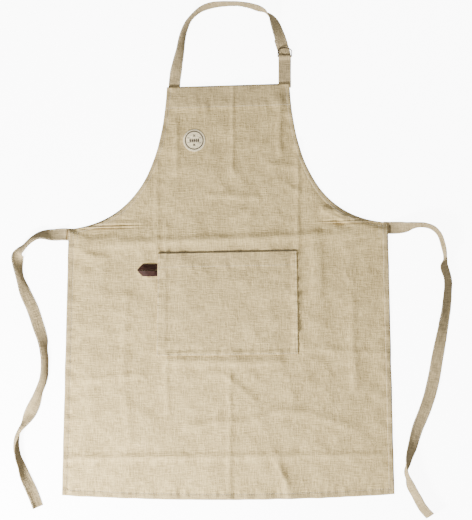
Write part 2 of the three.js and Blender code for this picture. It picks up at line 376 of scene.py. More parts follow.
# the point of a surface under x, y, and its normal
def dropOn(surface, x, y):
    hit, normal, _, _ = surface.ray_cast(Vector((x, y, 0.2)), Vector((0, 0, -1)))
    if hit is None:
        hit, normal, _, _ = surface.find_nearest(Vector((x, y, 0.002)))
        hit = Vector((x, y, hit.z))
    return hit, normal if normal.z > 0 else -normal


def heightsOn(surface, xs, ys):
    return np.array([dropOn(surface, x, y)[0].z for x, y in zip(xs, ys)])


def noiseField(xs, ys, size, seed):
    return np.array([noise.noise(Vector((x / size, y / size, seed))) for x, y in zip(xs, ys)])


def smoothStep(values, low, high):
    t = np.clip((values - low) / (high - low), 0, 1)
    return t * t * (3 - 2 * t)


# the apron's pattern, in metres from the middle of its hem
apron = {
    "height": 0.873, "bibHalf": 0.130, "waistHalf": 0.3385, "waist": 0.575,
    "hemHalf": 0.3525, "hemCorner": 0.005, "hemMiddle": -0.006,
    "armholeDrop": 0.179, "armholeOut": 0.010, "armholeReach": 0.138, "armholeRise": 0.012,
    "skewAtHem": 0.003, "skewAtNeck": 0.028,
    "thick": 1.0 * mm, "skirtShare": 0.62, "columns": 212, "rows": 226, "edgeRoll": 1.3,
    "sideSeam": 11.5 * mm, "bottomSeam": 12.5 * mm, "armholeSeam": 8.5 * mm, "topSeam": 46 * mm,
    "hemPack": (0.12, 0.035), "bibPack": (0.12, 0.022), "edgePack": (0.86, 0.957),
    "slant": 0.86, "slantFrom": 0.35, "slantTo": 0.95,  # of the armhole, towards the waist
    "roll": 2.4 * mm, "edgeWander": 0.8 * mm, "hemWander": 1.0 * mm,
    "hemRise": 1.1, "topRise": 1.5,  # doubled cloth stands higher, in millimetres
    "mouth": 0.5195, "mouthHalf": 0.1455, "mouthShade": 3.4,  # deep shade just inside the pocket
}
labelSet = {"x": -0.072, "y": 0.756, "radius": 23.5 * mm, "thick": 0.7 * mm, "lift": 1.0 * mm,
            "dome": 0.35 * mm, "seamIn": 1.6 * mm, "groove": 0.35 * mm, "grooveHalf": 0.7 * mm}
labelMiddle = sum(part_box("round_label"), Vector()) / 2
datum = labelMiddle - Vector((labelSet["x"], labelSet["y"], 0))
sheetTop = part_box("body_panel")[1].z


# a point of the pattern where it lies; the cloth is skewed a little towards the neck
def laid(x, y):
    skew = apron["skewAtHem"] + apron["skewAtNeck"] * y / apron["height"]
    return datum.x + x, datum.y + y + x * skew


def bottomEdge(x):
    bow = apron["hemCorner"] - apron["hemMiddle"]
    return apron["hemMiddle"] + bow * (x / apron["hemHalf"]) ** 2


def sideEdge(y):
    share = (y - apron["hemCorner"]) / (apron["waist"] - apron["hemCorner"])
    return apron["hemHalf"] + (apron["waistHalf"] - apron["hemHalf"]) * share


# the right-hand armhole, from the bib at 0 to the waist at 1
def armhole(t):
    corners = [
        (apron["bibHalf"], apron["height"]),
        (apron["bibHalf"] + apron["armholeOut"], apron["height"] - apron["armholeDrop"]),
        (apron["waistHalf"] - apron["armholeReach"], apron["waist"] + apron["armholeRise"]),
        (apron["waistHalf"], apron["waist"]),
    ]
    shares = [(1 - t) ** 3, 3 * (1 - t) ** 2 * t, 3 * (1 - t) * t ** 2, t ** 3]
    return [sum(share * corner[axis] for share, corner in zip(shares, corners)) for axis in (0, 1)]


# the same edge moved in over the cloth
def armholeInset(t, inset):
    x, y = armhole(t)
    nextX, nextY = armhole(t + 0.001)
    step = np.hypot(nextX - x, nextY - y)
    return x + (nextY - y) / step * inset, y - (nextX - x) / step * inset


# creases that lie in the cloth: where they run, in millimetres on the pattern, how high and
# how far to each side
creases = [
    ([(10, 880), (9, 690)], 0.9, 5),
    ([(4, 268), (3, -6)], 0.9, 5),
    ([(-129, 575), (-131, 520)], 0.9, 5),
    ([(-131, 300), (-128, 180)], 0.8, 6),
    ([(-108, 800), (-110, 690)], 1.0, 6),
    ([(-150, 712), (-151, 520)], 0.8, 5),
    ([(147, 745), (148, 350)], 1.0, 5),
    ([(186, 550), (190, 430)], 2.0, 11),
    ([(110, 835), (108, 730)], 1.2, 7),
    ([(-335, 540), (-60, 547), (150, 550), (338, 556)], 1.7, 8),
    ([(-348, 84), (0, 87), (346, 88)], 1.3, 6),
    ([(-128, 290), (110, 286)], 1.5, 9),
    ([(88, 702), (144, 698)], 0.9, 6),
    ([(-84, 152), (-20, 160), (36, 158), (90, 180), (152, 181), (250, 151)], 1.0, 8),
    ([(206, 606), (262, 578), (334, 548)], 2.0, 8),
    ([(228, 566), (280, 556), (336, 540)], 1.5, 7),
    ([(250, 520), (300, 538), (334, 553)], 1.3, 8),
    ([(-332, 560), (-290, 548), (-240, 552)], 1.6, 8),
    ([(-336, 548), (-300, 522), (-262, 512)], 1.2, 8),
    ([(-7, 259), (57, 206)], 0.7, 6),
    ([(99, 92), (131, 4)], 1.3, 7),
    ([(-215, 430), (-222, 250), (-205, 120)], 0.9, 9),
    ([(262, 420), (268, 230)], 0.9, 9),
    ([(-40, 640), (60, 634)], 0.8, 7),
    ([(-330, 250), (-180, 262)], 0.8, 7),
    ([(180, 312), (335, 300)], 0.8, 7),
]


# heights in millimetres, sizes in metres
reliefSet = {
    "swell": 2.2, "swellSize": 0.17,
    "rumple": 2.0, "rumpleSharp": 2.4, "rumpleSize": 0.06,
    "crumple": 1.6, "crumpleSize": 0.026,
    "wander": 2.0, "wanderSize": 0.035,  # creases wander a little
    "crease": 3.2, "lowest": -1.0, "highest": 6.0,
}


# how far the lying cloth rises and dips, in metres
def reliefAt(xs, ys):
    ridges = np.abs(noiseField(xs, ys, reliefSet["rumpleSize"], seed=7.7))
    high = reliefSet["swell"] * noiseField(xs, ys, reliefSet["swellSize"], seed=3.1)
    high += reliefSet["rumple"] * (1 - reliefSet["rumpleSharp"] * ridges)
    high += reliefSet["crumple"] * noiseField(xs, ys, reliefSet["crumpleSize"], seed=9.2)
    bend = reliefSet["wander"] * noiseField(xs, ys, reliefSet["wanderSize"], seed=21.5)
    for through, ridge, half in creases:
        spots = [np.array(spot, float) for spot in through]
        near = np.full(len(xs), np.inf)
        for a, b in zip(spots[:-1], spots[1:]):
            dx, dy = b - a
            offX = xs / mm - a[0]
            offY = ys / mm - a[1]
            t = np.clip((offX * dx + offY * dy) / (dx * dx + dy * dy), 0, 1)
            near = np.minimum(near, np.hypot(offX - t * dx + bend, offY - t * dy + bend))
        high += reliefSet["crease"] * ridge * np.exp(-((near / half) ** 2))
    return np.clip(high, reliefSet["lowest"], reliefSet["highest"]) * mm


# packs the first share of a run from 0 to 1 into its first reach
def packed(t, share, reach):
    return np.where(t < share, t / share * reach, reach + (t - share) / (1 - share) * (1 - reach))


# packs the columns closer in the last stretch to each edge
def towardsEdges(u):
    return np.sign(u) * packed(np.abs(u), *apron["edgePack"])


hemSet = {"pucker": 4.0, "puckerSize": 0.0105, "puckerHalf": 9, "groove": 0.6, "grooveHalf": 1.6}


# a stitched hem: a groove at the seam and puckers across it, in millimetres
def hemWave(distance, seam, along, seed):
    pucker = noiseField(along, np.full(len(along), seed), hemSet["puckerSize"], seed)
    off = (distance - seam) / mm
    pucker = hemSet["pucker"] * pucker * np.exp(-((off / hemSet["puckerHalf"]) ** 2))
    return pucker - hemSet["groove"] * np.exp(-((off / hemSet["grooveHalf"]) ** 2))


def panelPlace(u, v):
    across = towardsEdges(u)
    up = (v + 1) / 2
    share = apron["skirtShare"]
    inSkirt = up <= share
    low = packed(np.clip(up / share, 0, 1), *apron["hemPack"])  # from the hem to the waist
    fromBib = 1 - np.clip((up - share) / (1 - share), 0, 1)
    t = packed(fromBib, *apron["bibPack"])  # from the bib to the waist
    holeX, holeY = armhole(t)
    skirtHalf = apron["hemHalf"] + (apron["waistHalf"] - apron["hemHalf"]) * low
    half = np.where(inSkirt, skirtHalf, holeX)
    x = across * half
    bottom = bottomEdge(across * apron["hemHalf"])
    y = np.where(inSkirt, bottom + (apron["waist"] - bottom) * low, holeY)
    lean = 1 - apron["slant"] * smoothStep(t, apron["slantFrom"], apron["slantTo"])
    lean = np.where(inSkirt, 1.0, lean)
    fromSide = (half - np.abs(x)) * lean  # measured square to the armhole where that slants
    fromBottom = y - bottom
    fromTop = apron["height"] - y
    sideSeam = np.where(inSkirt, apron["sideSeam"], apron["armholeSeam"])
    lift = reliefAt(x, y) / mm
    lift += hemWave(fromSide, sideSeam, np.where(inSkirt, y, y + half), 31.0)
    lift += hemWave(fromBottom, apron["bottomSeam"], x, 47.0) * inSkirt
    lift += hemWave(fromTop, apron["topSeam"], x, 59.0) * 0.8 * ~inSkirt
    sideHem = smoothStep(-fromSide, -sideSeam - 0.8 * mm, -sideSeam + 0.8 * mm)
    bottomHem = smoothStep(bottom - y, -apron["bottomSeam"] - 1 * mm, -apron["bottomSeam"] + 1 * mm)
    topLine = apron["height"] - apron["topSeam"]
    topHem = smoothStep(y, topLine - 3.4 * mm, topLine)
    hemmed = np.maximum(np.maximum(sideHem, bottomHem), topHem)
    lift += apron["hemRise"] * hemmed + apron["topRise"] * topHem
    toEdge = np.minimum(fromSide, np.minimum(fromBottom, fromTop))
    roll = smoothStep(toEdge, 0, apron["roll"])
    edge = smoothStep(np.abs(across), 0.96, 1.0)
    still = np.zeros(len(u))  # the edges wander by fixed noise along them
    x = x + edge * apron["edgeWander"] * noiseField(y, still, 0.05, seed=5.0)
    edge = smoothStep(1 - low, 0.99, 1.0) * inSkirt
    y = y + edge * apron["hemWander"] * noiseField(x, still, 0.03, seed=15.0)
    # painted shade along the pocket's mouth, on the panel at the mouth
    mouth = smoothStep(-np.abs(y - apron["mouth"]), -4 * mm, -1.5 * mm)
    mouth = mouth * (np.abs(x) < apron["mouthHalf"])
    rowX, rowY = laid(x, y)
    rolled = np.minimum(lift, 0) - apron["edgeRoll"] + 0.4
    lift = np.clip(lift, -1.0, 7) * roll + rolled * (1 - roll)
    points = np.stack([rowX, rowY, sheetTop + np.maximum(lift, -1.1) * mm], 1)
    # the third value is painted shade: darker on the doubled hems, deep along the pocket's mouth
    return points, np.stack([x, y], 1), hemmed + apron["mouthShade"] * mouth


bodyPanel = clothGrid(
    "bodyPanel", apron["columns"], apron["rows"], panelPlace, bodyLinen, apron["thick"])
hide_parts("body_panel")
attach(bodyPanel, "apron_body")
panelSurface = surfaceOf(bodyPanel)
print("body panel cut and laid")


# the layers under the edges: turned hems of the panel and sewn-on facings
underSet = {"thick": 0.8 * mm, "sink": 1.05 * mm, "setBack": 0.4 * mm, "bottomDepth": 14 * mm,
            "sideDepth": 12.5 * mm, "facingDepth": 10 * mm, "topDepth": 47 * mm}


# outline gives pattern x, y for grid places; the layer hangs under the panel's own surface
def underLayer(name, columns, rows, outline, node=None):
    def place(u, v):
        x, y = outline(u, v)
        rowX, rowY = laid(x, y)
        z = heightsOn(panelSurface, rowX, rowY) - underSet["sink"]
        z = np.maximum(z, underSet["thick"] + 0.05 * mm)
        return np.stack([rowX, rowY, z], 1), np.stack([x + 1.7, y + 0.4], 1)
    piece = clothGrid(name, columns, rows, place, bodyLinen, underSet["thick"])
    if node:
        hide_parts(node)
    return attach(piece, "apron_body")


def bottomHemOutline(u, v):
    x = u * (apron["hemHalf"] - underSet["setBack"])
    return x, bottomEdge(x) + underSet["setBack"] + (v + 1) / 2 * underSet["bottomDepth"]


def sideHemOutline(side):
    def outline(u, v):
        y = 20 * mm + (v + 1) / 2 * (apron["waist"] - underSet["facingDepth"] - 24 * mm)
        x = sideEdge(y) - underSet["setBack"] - (1 - side * u) / 2 * underSet["sideDepth"]
        return side * x, y
    return outline


def armholeOutline(side):
    def outline(u, v):
        inset = (1 - side * u) / 2 * underSet["facingDepth"] + 0.3 * mm
        x, y = armholeInset(0.1 + 0.9 * (1 - v) / 2, inset)
        return side * x, y
    return outline


def topFacingOutline(u, v):
    y = apron["height"] - 0.3 * mm - (1 - v) / 2 * underSet["topDepth"]
    return u * (apron["bibHalf"] + 2.6 * mm * (1 - v) / 2 - underSet["setBack"]), y


underLayers = [
    underLayer("bottomHemTurn", 90, 4, bottomHemOutline),
    underLayer("leftHemTurn", 4, 80, sideHemOutline(-1)),
    underLayer("rightHemTurn", 4, 80, sideHemOutline(1)),
    underLayer("leftArmholeFacing", 4, 70, armholeOutline(-1), "left_armhole_facing"),
    underLayer("rightArmholeFacing", 4, 70, armholeOutline(1), "right_armhole_facing"),
    underLayer("bibTopFacing", 50, 10, topFacingOutline, "bib_top_facing"),
]
print("hems and facings turned under")


# the pocket, sewn on three sides, its mouth standing a little open
pocketSet = {
    "topHalf": 0.147, "bottomHalf": 0.1505, "bottom": 0.301, "height": 0.218, "centreX": -0.002,
    "thick": 1.0 * mm, "hemDepth": 29 * mm, "seamIn": 2.6 * mm,
    "turnedDepth": 11 * mm, "bandShare": 0.5,  # the turned band is twice as wide on the left
    "lift": 1.5, "belly": 0.8, "hemRise": 0.5, "turnedRise": 1.8, "edgeDrop": 0.9,  # millimetres
    "slack": 0.8, "crumple": 0.35, "foldHigh": 0.9, "foldHalf": 6, "foldAt": 0.324,
    "pucker": 0.7,  # a share of the panel's
    # painted shade: a little over the whole pocket, more on its doubled hem, deep at the rim of its
    # mouth
    "shade": 0.25, "hemShade": 0.3, "rimShade": 2.8,
}


def pocketPlace(u, v):
    across = towardsEdges(u)
    up = (towardsEdges(v) + 1) / 2
    half = pocketSet["bottomHalf"] + (pocketSet["topHalf"] - pocketSet["bottomHalf"]) * up
    x = pocketSet["centreX"] + across * half
    y = pocketSet["bottom"] + up * pocketSet["height"]
    rowX, rowY = laid(x, y)
    rise = smoothStep(up, 0.02, 0.45)
    lift = pocketSet["lift"] + pocketSet["belly"] * rise * (1 - np.abs(across) ** 5)
    fromSide = half - np.abs(across) * half
    fromBottom = y - pocketSet["bottom"]
    fromTop = pocketSet["bottom"] + pocketSet["height"] - y
    doubled = smoothStep(-fromTop, -pocketSet["hemDepth"] - 1 * mm, -pocketSet["hemDepth"] + 1 * mm)
    toBand = np.minimum(fromSide * np.where(across < 0, pocketSet["bandShare"], 1), fromBottom)
    turned = 1 - smoothStep(toBand, pocketSet["turnedDepth"] - 1.5 * mm, pocketSet["turnedDepth"])
    lift += pocketSet["hemRise"] * doubled + pocketSet["turnedRise"] * turned
    lift += hemWave(fromSide, pocketSet["seamIn"], y, 71.0) * pocketSet["pucker"]
    lift += hemWave(fromBottom, pocketSet["seamIn"], x, 83.0) * pocketSet["pucker"]
    lift += hemWave(fromTop, pocketSet["hemDepth"], x, 97.0) * pocketSet["pucker"]
    pressed = 1 - smoothStep(np.minimum(fromSide, fromBottom), 0, 1.6 * mm)
    lift -= pocketSet["edgeDrop"] * pressed
    free = smoothStep(fromSide / mm, 2, 30)
    slack = free * pocketSet["slack"] * noiseField(x, y, 0.06, seed=41.0)
    lift += slack + pocketSet["crumple"] * noiseField(x, y, 0.02, seed=43.0)
    fold = np.exp(-(((y - pocketSet["foldAt"]) / mm / pocketSet["foldHalf"]) ** 2))
    lift += free * pocketSet["foldHigh"] * fold * smoothStep(-x, 0.03, 0.08)
    z = heightsOn(panelSurface, rowX, rowY) + np.maximum(lift, 1.1) * mm
    rim = 1 - smoothStep(fromTop, 0.3 * mm, 1.5 * mm)  # the rim of the mouth is in shade
    flat = np.stack([x * 1.003 + 3.3, y + 1.1], 1)  # moved, so its weave isn't the panel's
    # painted shade for the pocket's cloth
    shade = pocketSet["shade"] + pocketSet["hemShade"] * doubled + pocketSet["rimShade"] * rim
    return np.stack([rowX, rowY, z], 1), flat, shade


pocket = clothGrid("pocketPanel", 110, 84, pocketPlace, bodyLinen, pocketSet["thick"])
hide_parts("pocket_panel")
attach(pocket, "apron_body")
pocketSurface = surfaceOf(pocket)
print("pocket sewn on")


# ribbons: the neck strap, its tab and the two waist ties
ribbonSet = {"fineSize": 0.02, "broadSize": 0.055, "broad": 1.6, "seamDeep": 0.3 * mm,
             "seamHalf": 0.09, "edgeWander": 0.5 * mm, "edgeSize": 0.03, "columns": 12}


# a smooth curve through the listed rows, with the same number of steps between its ends
def catmull(rows, steps):
    rows = np.array(rows, float)
    padded = np.vstack([2 * rows[0] - rows[1], rows, 2 * rows[-1] - rows[-2]])
    out = []
    for step in range(steps + 1):
        place = step / steps * (len(rows) - 1)
        i = min(int(place), len(rows) - 2)
        t = place - i
        a, b, c, d = padded[i:i + 4]
        bent = 2 * a - 5 * b + 4 * c - d + t * (3 * (b - c) + d - a)
        out.append(b + 0.5 * t * (c - a + t * bent))
    return np.array(out)


# centres and cross directions of a ribbon lying loose; rows are x, y, roll in degrees and lift
def looseStations(rows, size, steps):
    curve = catmull([(*row, 0)[:4] for row in rows], steps)
    along = np.gradient(curve[:, :2], axis=0)
    along /= np.linalg.norm(along, axis=1)[:, None]
    roll = np.radians(curve[:, 2])
    across = np.stack([-along[:, 1] * np.cos(roll), along[:, 0] * np.cos(roll), np.sin(roll)], 1)
    wide = size["width"] * (1 - size["narrow"] * np.sin(roll) ** 4)
    halfHigh = (wide * np.abs(np.sin(roll)) + size["thick"] * np.abs(np.cos(roll))) / 2
    ease = np.ones(size["ease"]) / size["ease"]  # a ribbon bridges the dips between its folds
    halfHigh = np.convolve(np.pad(halfHigh, size["ease"] // 2, "edge"), ease, "valid")
    centre = np.stack([
        datum.x + curve[:, 0] * mm,
        datum.y + curve[:, 1] * mm,
        np.maximum(curve[:, 3], 0) * mm + size["clear"] + halfHigh,
    ], 1)
    return centre, across


def ribbonFrames(centre, across):
    along = np.gradient(centre, axis=0)
    along /= np.linalg.norm(along, axis=1)[:, None]
    side = across - along * (across * along).sum(1)[:, None]
    side /= np.linalg.norm(side, axis=1)[:, None]
    return along, side, np.cross(along, side)


# how far along a run of points each of them is
def travelTo(points):
    return np.concatenate([[0], np.cumsum(np.linalg.norm(np.diff(points, axis=0), axis=1))])


# half the width of a ribbon and its curl at u; it narrows and curls where it stands on edge
def curled(size, rise, u):
    standing = rise ** 4
    half = size["width"] / 2 * (1 - size["narrow"] * standing)
    return half, size["cup"] * standing * (0.6 - u ** 2)


def makeRibbon(name, centre, across, size, seed):
    along, side, out = ribbonFrames(centre, across)
    travelled = travelTo(centre)

    def place(u, v):
        row = np.rint((v + 1) / 2 * (len(centre) - 1)).astype(int)
        s = travelled[row]
        fine = size["rumple"] * noiseField(s, u * 0.02, ribbonSet["fineSize"], seed)
        broad = size["rumple"] * ribbonSet["broad"]
        broad = broad * noiseField(s, u * 0.02, ribbonSet["broadSize"], seed + 3)
        off = (np.abs(u) - size["seamAt"]) / ribbonSet["seamHalf"]
        seam = -ribbonSet["seamDeep"] * np.exp(-(off ** 2))
        edge = ribbonSet["edgeWander"] * noiseField(s, u * 0.1, ribbonSet["edgeSize"], seed + 9)
        edge = edge * np.sign(u)
        half, cup = curled(size, side[row][:, 2], u)
        points = centre[row] + side[row] * (u * half + edge * np.abs(u) ** 3)[:, None]
        points += out[row] * (fine + broad + seam + cup)[:, None]
        points[:, 2] = np.maximum(points[:, 2], size["thick"] / 2 + 0.1 * mm)
        return points, np.stack([u * size["width"] / 2 + seed, s], 1)

    piece = clothGrid(name, ribbonSet["columns"], len(centre) - 1, place, shadedRibbonLinen,
                      size["thick"], 0.0)
    softenEdges(piece, "soft edges", size["thick"] * 0.35, 60)
    return piece


strapSet = {"width": 25 * mm, "thick": 1.2 * mm, "clear": 0.3 * mm, "rumple": 0.45 * mm,
            "seamAt": 0.82, "cup": 4.0 * mm, "narrow": 0.06, "ease": 1}
strapRoute = [
    (-114.6, 860, 0), (-114, 874, 0), (-112.5, 889, 0), (-108, 914, 30), (-101.5, 944, 46),
    (-97, 969, 56), (-90, 992, 64), (-79, 1012, 75), (-60, 1029.5, 72), (-38, 1039, 66),
    (-12, 1042.5, 72), (18, 1043, 76), (44, 1039, 72), (64, 1033, 68), (79, 1027, 90),
    (91, 1015.5, 122, 0.4), (98.5, 1003, 142, 1), (104, 989, 154, 1.8), (109, 975, 162, 2.8),
    (114.8, 957, 176, 4),
]
tieSet = {"width": 26 * mm, "thick": 1.4 * mm, "clear": 0.3 * mm, "rumple": 0.8 * mm,
          "seamAt": 0.83, "cup": 8.0 * mm, "narrow": 0.2, "ease": 21}
leftTieRoute = [
    (-329, 556, 0), (-339, 556.5, 0), (-340.8, 556.6, 0), (-343.6, 556.8, 0, 4.0),
    (-352, 557, 6, 1.8), (-372, 556, 22), (-398, 556, 50), (-416, 547, 62), (-432, 531, 60),
    (-443, 519, 38), (-446, 506, -16), (-443.5, 485, -46), (-438, 462, -52), (-429, 434, -28),
    (-414, 400, -16), (-403, 368, -18), (-393, 337, -36), (-389, 315, -52), (-386.5, 288, -55),
    (-389, 254, -53), (-400, 222, -50), (-413, 190, -12), (-428, 163, 42), (-440, 143, 74),
    (-448, 118, 100), (-446, 90, 114), (-437, 66, 126), (-429, 44, 140), (-418, 20, 146),
    (-409, 0, 146), (-402, -20, 144),
]
rightTieRoute = [
    (329, 571, 0), (339.5, 571, 0), (341.5, 571, 0), (344.5, 571, 0, 1.6), (356, 571, 10),
    (374, 572, 30), (393, 575, 56), (414, 576, 70), (433, 570, 76), (447, 556, 84), (455, 534, 88),
    (459, 510, 100), (456, 490, 138), (464, 462, 138), (463, 425, 142), (459, 384, 148),
    (451, 340, 160), (443, 296, 174), (436, 254, 182), (427, 216, 176), (413, 176, 172),
    (400, 144, 162), (390, 110, 150), (380, 76, 126), (377, 54, 90), (385, 26, 48), (400, -2, 46),
    (412, -22, 44), (427, -39, 40),
]
ringSet = {"wire": 2.1 * mm, "innerHalf": 13.45 * mm, "depth": 21 * mm, "leg": 11 * mm,
           "corner": 1.6 * mm, "frontTilt": radians(8)}
frontBar = Vector(joints["front_ring_lift"]["pos_m"])
rearLow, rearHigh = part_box("d_ring_rear")
rearBar = Vector((frontBar.x, frontBar.y, (rearLow.z + rearHigh.z) / 2))
seamAxis = Vector(joints["neck_loop_fold"]["pos_m"])
seamRun = Vector(joints["neck_loop_fold"]["axis"])


def bibEdgeY(x):
    return seamAxis.y + (x - seamAxis.x) * seamRun.y / seamRun.x


# the loose arch, then the fold round the rear ring's bow and the tail that runs back underneath
def strapStations():
    centre, across = looseStations(strapRoute, strapSet, 196)
    foldRadius = rearBar.z - strapSet["clear"] - strapSet["thick"] / 2
    foldY = rearBar.y + 6.6 * mm
    tail = [(-2.6, 7.0, rearBar.z + foldRadius)]
    for turn in np.linspace(0, pi, 13):
        tail.append((0, -foldRadius / mm * sin(turn), rearBar.z + foldRadius * cos(turn)))
    low = strapSet["clear"] + strapSet["thick"] / 2
    tail += [(-2.4, 7, low), (-5.2, 15, low), (-8.2, 24, low), (-11.0, 32, low)]
    extra = np.array([(rearBar.x + x * mm, foldY + y * mm, z) for x, y, z in tail])
    flat = np.tile([-1.0, 0.0, 0.0], (len(extra), 1))
    return np.vstack([centre[:-3], extra]), np.vstack([across[:-3], flat])


strapCentre, strapAcross = strapStations()
strap = makeRibbon("neckStrap", strapCentre, strapAcross, strapSet, 2.0)
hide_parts("neck_strap")

leftCentre, leftAcross = looseStations(leftTieRoute, tieSet, 300)
leftTie = makeRibbon("leftTie", leftCentre, leftAcross, tieSet, 5.0)
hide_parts("left_tie")

rightCentre, rightAcross = looseStations(rightTieRoute, tieSet, 300)
rightTie = makeRibbon("rightTie", rightCentre, rightAcross, tieSet, 8.0)
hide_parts("right_tie")

tabSet = {"width": 26.6 * mm, "thick": 1.0 * mm, "clear": 0.2 * mm, "rumple": 0.1 * mm,
          "seamAt": 0.84, "cup": 0.0, "narrow": 0.0, "turn": 2.3 * mm, "reach": 3.4 * mm}


# a doubled strip from the bib's edge, round both ring bars and back
def tabStations():
    radius = tabSet["turn"]
    reach = tabSet["reach"]
    low = tabSet["clear"] + tabSet["thick"] / 2
    high = frontBar.z + 1.9 * mm
    start = bibEdgeY(frontBar.x) - frontBar.y - 9 * mm
    path = [(start + (-1 * mm - start) * i / 24, low) for i in range(25)]
    for turn in np.linspace(0, pi / 2, 7):
        path.append((reach * sin(turn), low + radius * (1 - cos(turn))))
    for turn in np.linspace(pi / 2, pi, 7):
        path.append((reach * sin(turn), high - radius * (1 + cos(turn))))
    path += [(-2.6 * mm, high - 1.5 * mm), (-4.6 * mm, low + 2.6 * mm), (-7 * mm, low + 1.25 * mm)]
    path += [(-8 * mm + (start + 8 * mm) * i / 22, low + 1.1 * mm) for i in range(23)]
    centre = np.array([(frontBar.x, frontBar.y + y, z) for y, z in path])
    return centre, np.tile([-1.0, 0.0, 0.0], (len(centre), 1))


tabCentre, tabAcross = tabStations()
ringTab = makeRibbon("ringTab", tabCentre, tabAcross, tabSet, 11.0)
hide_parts("ring_tab")
for name, centre in (("strap", strapCentre), ("left tie", leftCentre), ("right tie", rightCentre),
                     ("tab", tabCentre)):
    print(name, "laid,", round(float(travelTo(centre)[-1]), 3), "m long")


# stitches
stitchSet = {"long": 2.7 * mm, "pitch": 3.5 * mm, "wide": 1.0 * mm, "high": 0.7 * mm,
             "proud": 0.1, "lowest": 0.55 * mm}  # proud is in millimetres


def addStitch(bm, spot, along, out):
    side = out.cross(along).normalized()
    up = along.cross(side).normalized()
    turn = Matrix((along.normalized(), side, up)).transposed().to_4x4()
    size = Matrix.Diagonal((stitchSet["long"] / 2, stitchSet["wide"] / 2, stitchSet["high"] / 2, 1))
    place = Matrix.Translation(spot) @ turn @ size
    bmesh.ops.create_icosphere(bm, subdivisions=1, radius=1, matrix=place)


def resample(points, pitch):
    points = np.array(points, float)
    lengths = travelTo(points)
    count = max(int(lengths[-1] / pitch), 1)
    marks = (np.arange(count) + 0.5) * lengths[-1] / count
    return np.stack([np.interp(marks, lengths, values) for values in points.T], 1)


# rows of pattern points, sewn where they fall on a surface
def sewRows(name, rows, surface):
    bm = bmesh.new()
    for row in rows:
        flat = resample([laid(x, y) for x, y in row], stitchSet["pitch"])
        heads = np.gradient(flat, axis=0)
        for (x, y), (dx, dy) in zip(flat, heads):
            spot, normal = dropOn(surface, x, y)
            along = Vector((dx, dy, 0))
            spot += normal * stitchSet["proud"] * mm
            addStitch(bm, spot, along - normal * along.dot(normal), normal)
    return keepPiece(name, bm, thread)


# stitches along both edges and both faces of a ribbon
def sewRibbon(name, centre, across, size, ends):
    along, side, out = ribbonFrames(centre, across)
    travelled = travelTo(centre)
    marks = np.arange(ends[0], travelled[-1] - ends[1], stitchSet["pitch"])
    bm = bmesh.new()
    for mark in marks:
        i = int(np.clip(np.searchsorted(travelled, mark), 1, len(centre) - 1))
        for edge in (-1, 1):
            for face in (-1, 1):
                half, cup = curled(size, side[i][2], size["seamAt"])
                spot = Vector(centre[i]) + Vector(side[i]) * edge * size["seamAt"] * half
                spot += Vector(out[i]) * (face * (size["thick"] / 2 + stitchSet["proud"] * mm) + cup)
                spot.z = max(spot.z, stitchSet["lowest"])
                addStitch(bm, spot, Vector(along[i]), Vector(out[i]) * face)
    return keepPiece(name, bm, thread)


# where the panel is sewn, in metres on the pattern
sewSet = {"hemHalf": 0.351, "sideMarks": (0.006, 0.3, 0.573), "bibHalf": 0.1325,
          "bibDown": 45 * mm, "tieMarks": (0.545, 0.571), "tieAt": 0.56,
          "tieInsets": (3.5 * mm, 20 * mm)}


def armholeRow(side):
    row = []
    for t in np.linspace(0.0, 0.985, 50):
        x, y = armholeInset(t, apron["armholeSeam"])
        row.append((side * x, y))
    return row


def panelRows():
    across = np.linspace(-sewSet["hemHalf"], sewSet["hemHalf"], 30)
    rows = [[(x, bottomEdge(x) + apron["bottomSeam"]) for x in across]]
    for side in (-1, 1):
        rows.append([(side * (sideEdge(y) - apron["sideSeam"]), y) for y in sewSet["sideMarks"]])
        rows.append(armholeRow(side))
        for inset in sewSet["tieInsets"]:
            x = side * (sideEdge(sewSet["tieAt"]) - inset)
            rows.append([(x, y) for y in sewSet["tieMarks"]])
    bibLine = apron["height"] - sewSet["bibDown"]
    rows.append([(-sewSet["bibHalf"], bibLine), (sewSet["bibHalf"], bibLine)])
    return rows


def pocketRows():
    top = pocketSet["bottom"] + pocketSet["height"]
    inset = pocketSet["seamIn"]
    left = pocketSet["centreX"] - pocketSet["topHalf"]
    right = pocketSet["centreX"] + pocketSet["topHalf"]
    hem = top - pocketSet["hemDepth"]
    wider = pocketSet["bottomHalf"] - pocketSet["topHalf"]
    low = pocketSet["bottom"] + inset
    return [
        [(left + inset, top), (left - wider + inset, low)],
        [(left - wider + inset, low), (right + wider - inset, low)],
        [(right - inset, top), (right + wider - inset, low)],
        [(left + 4 * mm, hem), (right - 4 * mm, hem)],
    ]


panelStitches = sewRows("panelStitches", panelRows(), panelSurface)
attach(panelStitches, "apron_body")
pocketStitches = sewRows("pocketStitches", pocketRows(), pocketSurface)
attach(pocketStitches, "apron_body")
strapStitches = sewRibbon("strapStitches", strapCentre, strapAcross, strapSet, (4 * mm, 6 * mm))
tieEnds = (4 * mm, 3 * mm)  # the stitches stop this far from its ends
leftTieStitches = sewRibbon("leftTieStitches", leftCentre, leftAcross, tieSet, tieEnds)
rightTieStitches = sewRibbon("rightTieStitches", rightCentre, rightAcross, tieSet, tieEnds)
print("stitches sewn")

# each ribbon's placing is baked into its mesh
for ribbon in (strap, strapStitches, ringTab):
    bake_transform(ribbon)
for ribbon in (leftTie, leftTieStitches):
    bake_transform(ribbon)
for ribbon in (rightTie, rightTieStitches):
    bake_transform(ribbon)


